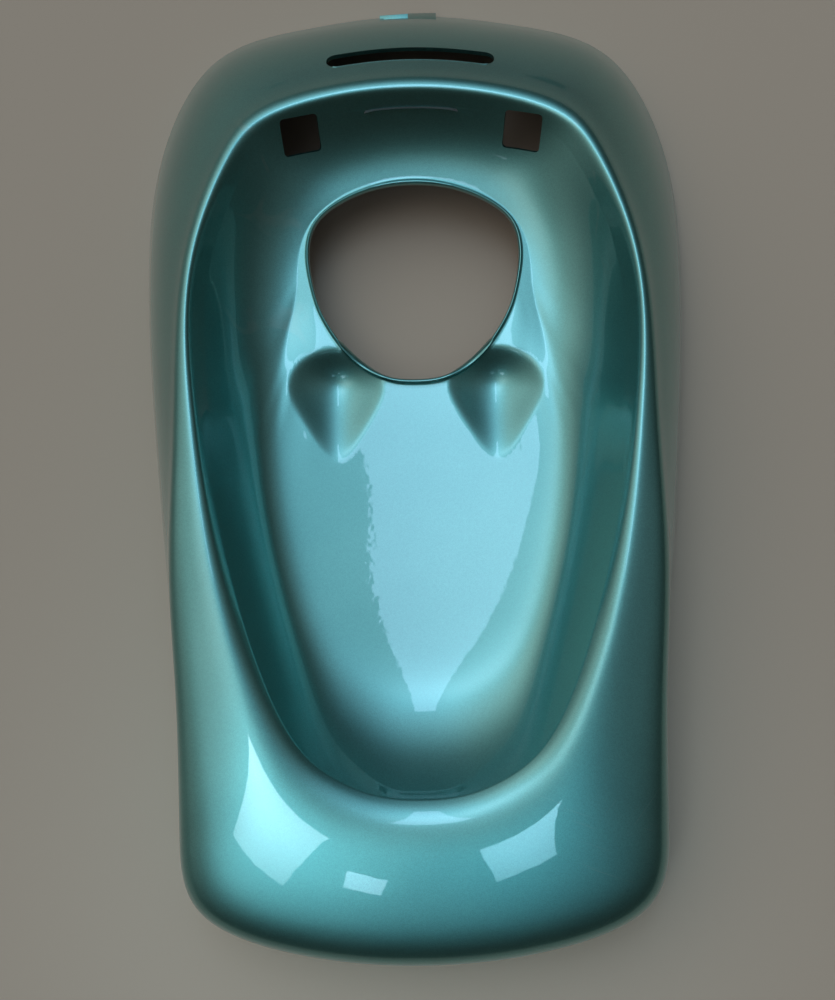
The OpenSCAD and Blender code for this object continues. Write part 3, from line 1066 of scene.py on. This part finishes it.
@dataclass(frozen=True)
class BarePlastic:
    """Unpainted moulded plastic of the hidden side, with overspray where paint came round the edge."""

    name: str = "bare_moulded_plastic"
    colour: tuple[float, float, float] = (0.032, 0.034, 0.034)
    pale: tuple[float, float, float] = (0.055, 0.058, 0.057)
    overspray: tuple[float, float, float] = (0.07, 0.17, 0.165)
    dust: tuple[float, float, float] = (0.25, 0.24, 0.22)

    def material(self, effects: Effects) -> bpy.types.Material:
        """The bare plastic as a material.

        Args:
            effects: the shared shader groups.

        Returns:
            The material.
        """
        mat, graph, shader = new_material(self.name)
        place = graph.node("TexCoord").outputs["Object"]
        height = graph.node("SeparateXYZ", {0: place}).outputs[2]
        flow = graph.noise(graph.stretched(place, 12.0, (14.0, 4.0, 14.0)), 1.0, 3.0)
        shade = graph.mix(graph.ramp(flow, 0.35, 0.7), (*self.colour, 1), (*self.pale, 1))

        mist = graph.noise(place, 700.0, 2.0)
        cloud = graph.noise(place, 18.0, 3.0)
        reach = graph.math("MULTIPLY_ADD", cloud, -0.022, height)
        edge = graph.ramp(graph.math("MULTIPLY_ADD", mist, 0.012, reach), 0.012, 0.0)
        shade = graph.mix(edge, shade, (*self.overspray, 1))
        specks = effects.place(graph, effects.specks, place, spacing=180.0, size=0.11, rarity=0.8)
        shade = graph.mix(graph.math("MULTIPLY", specks, 0.4), shade, (*self.dust, 1))
        rubbed = effects.place(graph, effects.scratches, place, turn=0.2, amount=0.5, seed=4.1)
        graph.feed(shader.inputs["Base Color"], graph.mix(rubbed, shade, (*self.pale, 1)))

        rough = graph.math("MULTIPLY_ADD", flow, 0.14, 0.42)
        graph.feed(shader.inputs["Roughness"], graph.math("MULTIPLY_ADD", edge, 0.12, rough))
        grain = effects.place(graph, effects.grain, place, coarse=420.0, fine=2600.0, share=0.55)
        bump = graph.node("Bump", {"Strength": 0.5, "Distance": 0.00015, "Height": grain})
        graph.feed(shader.inputs["Normal"], bump.outputs[0])
        return mat


def new_material(name: str) -> tuple[bpy.types.Material, Graph, bpy.types.Node]:
    """A material with the wiring of its nodes and its Principled shader."""
    mat = bpy.data.materials.new(name)
    mat.use_nodes = True
    return mat, Graph(mat.node_tree), mat.node_tree.nodes["Principled BSDF"]


@dataclass(frozen=True)
class Softbox:
    """Rectangular lamp that hangs level, or is turned towards a point and kept to it by a grid."""

    name: str
    place: tuple[float, float, float]
    size: tuple[float, float]
    brightness: float
    colour: tuple[float, float, float] = (1.0, 1.0, 1.0)
    aim: tuple[float, float, float] | None = None
    spread: float = 180.0

    def hang(self) -> None:
        """Adds the lamp to the scene."""
        data = bpy.data.lights.new(self.name, "AREA")
        data.shape = "RECTANGLE"
        data.size, data.size_y = self.size
        data.energy = self.brightness * math.pi * self.size[0] * self.size[1]
        data.color = self.colour
        obj = bpy.data.objects.new(self.name, data)
        obj.location = self.place
        if self.aim:
            obj.rotation_euler = (Vector(self.aim) - Vector(self.place)).to_track_quat("-Z", "Y").to_euler()
            data.spread = math.radians(self.spread)
        bpy.context.scene.collection.objects.link(obj)


@dataclass(frozen=True)
class SkyGlow:
    """Wide soft glow of the studio's walls and ceiling round one direction."""

    heading: tuple[float, float, float]
    sharpness: float
    colour: tuple[float, float, float]


@dataclass
class Studio:
    """Floor, lights and camera, at the photograph's own viewing angle."""

    frame_h: int = 1000
    focal_px: float = 1300
    distance: float = 0.824
    tilt: float = 6.1
    roll: float = 1.1
    target: tuple[float, float, float] = (-0.0009, -0.02125, 0)
    offset_x: float = 0.007
    floor_half: float = 6
    floor_gap: float = 0.0002
    floor_roughness: float = 0.9
    floor_colour: tuple[float, float, float] = (0.43, 0.365, 0.29)
    surround: tuple[float, float, float] = (0.035, 0.028, 0.022)
    glows: tuple[SkyGlow, ...] = (
        SkyGlow((0.0, 0.22, 1.0), 14.0, (0.2, 0.2, 0.24)),
        SkyGlow((-0.16, 0.25, 1.0), 60.0, (1.7, 2.1, 2.5)),
        SkyGlow((0.0, 0.75, 1.0), 14.0, (0.6, 0.9, 1.15)),
        SkyGlow((-0.36, -0.12, 1.0), 34.0, (1.4, 1.35, 1.3)),
        SkyGlow((-0.8, 0.7, 1.0), 10.0, (1.1, 1.05, 1.0)),
        SkyGlow((-1.73, 0.0, 1.0), 7.0, (0.35, 0.31, 0.28)),
        SkyGlow((0.7, 0.1, 1.0), 8.0, (0.16, 0.17, 0.17)),
    )
    lamps: tuple[Softbox, ...] = (
        Softbox("long_softbox", (-0.037, 0.53, 2.0), (0.12, 1.2), 5.5, (0.45, 0.72, 1.0)),
        Softbox("low_left_softbox", (-0.32, -0.59, 1.0), (0.22, 0.27), 0.4, (0.6, 0.86, 1.0),
                (-0.08, -0.3, 0.07), 34.0),
        Softbox("low_right_softbox", (0.167, -0.62, 1.0), (0.13, 0.17), 0.32, (0.4, 0.8, 1.0),
                (0.04, -0.3, 0.07), 34.0),
        Softbox("low_middle_softbox", (-0.13, -0.726, 1.0), (0.082, 0.07), 0.32, (0.5, 0.8, 1.0),
                (0, -0.3, 0.07), 34.0),
    )

    def camera(self) -> None:
        """Creates the camera and makes it the scene's own."""
        tilt, roll = math.radians(self.tilt), math.radians(self.roll)
        ahead = Vector((0, math.sin(tilt), -math.cos(tilt)))
        level = Vector((0, math.cos(tilt), math.sin(tilt)))
        across = Vector((1, 0, 0))
        right = across * math.cos(roll) - level * math.sin(roll)
        up = level * math.cos(roll) + across * math.sin(roll)
        eye = Vector(self.target) - ahead * self.distance + Vector((self.offset_x, 0, 0))
        data = bpy.data.cameras.new("camera")
        data.sensor_width = data.sensor_height = 36
        data.sensor_fit = "AUTO"
        data.lens = 36 * self.focal_px / self.frame_h
        data.shift_x = -self.offset_x * self.focal_px / self.distance / self.frame_h
        data.clip_start, data.clip_end = 0.01, 50
        obj = bpy.data.objects.new("camera", data)
        obj.matrix_world = Matrix(((right.x, up.x, -ahead.x, eye.x), (right.y, up.y, -ahead.y, eye.y),
                                   (right.z, up.z, -ahead.z, eye.z), (0, 0, 0, 1)))
        bpy.context.scene.collection.objects.link(obj)
        bpy.context.scene.camera = obj

    def floor(self) -> None:
        """The pale floor that the shield lies on."""
        shape = bmesh.new()
        bmesh.ops.create_grid(shape, x_segments=2, y_segments=2, size=self.floor_half)
        bmesh.ops.translate(shape, vec=(0, 0, -self.floor_gap), verts=shape.verts)
        obj = mesh_object("floor", shape)
        mat, _, shader = new_material("pale_floor")
        shader.inputs["Base Color"].default_value = (*self.floor_colour, 1)
        shader.inputs["Roughness"].default_value = self.floor_roughness
        obj.data.materials.append(mat)

    def surroundings(self) -> None:
        """Soft light from all round, as glows that fade into one another."""
        world = bpy.data.worlds.new("studio")
        bpy.context.scene.world = world
        world.use_nodes = True
        graph = Graph(world.node_tree)
        heading = graph.node("TexCoord").outputs["Generated"]
        light = self.surround
        for glow in self.glows:
            aim = Vector(glow.heading).normalized()
            along = graph.node("VectorMath", {0: heading, 1: aim}, operation="DOT_PRODUCT").outputs["Value"]
            fade = graph.math("EXPONENT", graph.math("MULTIPLY_ADD", along, glow.sharpness, -glow.sharpness))
            shine = graph.node("VectorMath", {0: glow.colour, "Scale": fade}, operation="SCALE").outputs[0]
            light = graph.node("VectorMath", {0: light, 1: shine}, operation="ADD").outputs[0]
        background = world.node_tree.nodes["Background"]
        graph.feed(background.inputs["Color"], light)
        background.inputs["Strength"].default_value = 1.0

    def build(self) -> None:
        """Sets up everything round the object."""
        bpy.context.scene.view_settings.view_transform = "Standard"
        self.floor()
        self.surroundings()
        for lamp in self.lamps:
            lamp.hang()
        self.camera()


def main() -> None:
    """Builds the dressed shield and its surroundings."""
    logging.basicConfig(level=logging.INFO, format="%(name)s: %(message)s")
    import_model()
    effects = Effects.make()
    finishes = {Face.PAINTED: GlossPaint().material(effects), Face.BARE: BarePlastic().material(effects)}
    moulding = Moulding().build(finishes)
    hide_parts("leg_shield")
    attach(moulding, "root")
    LOG.info("%s: %d faces", moulding.name, len(moulding.data.polygons))
    Studio().build()


if __name__ == "__main__":
    main()
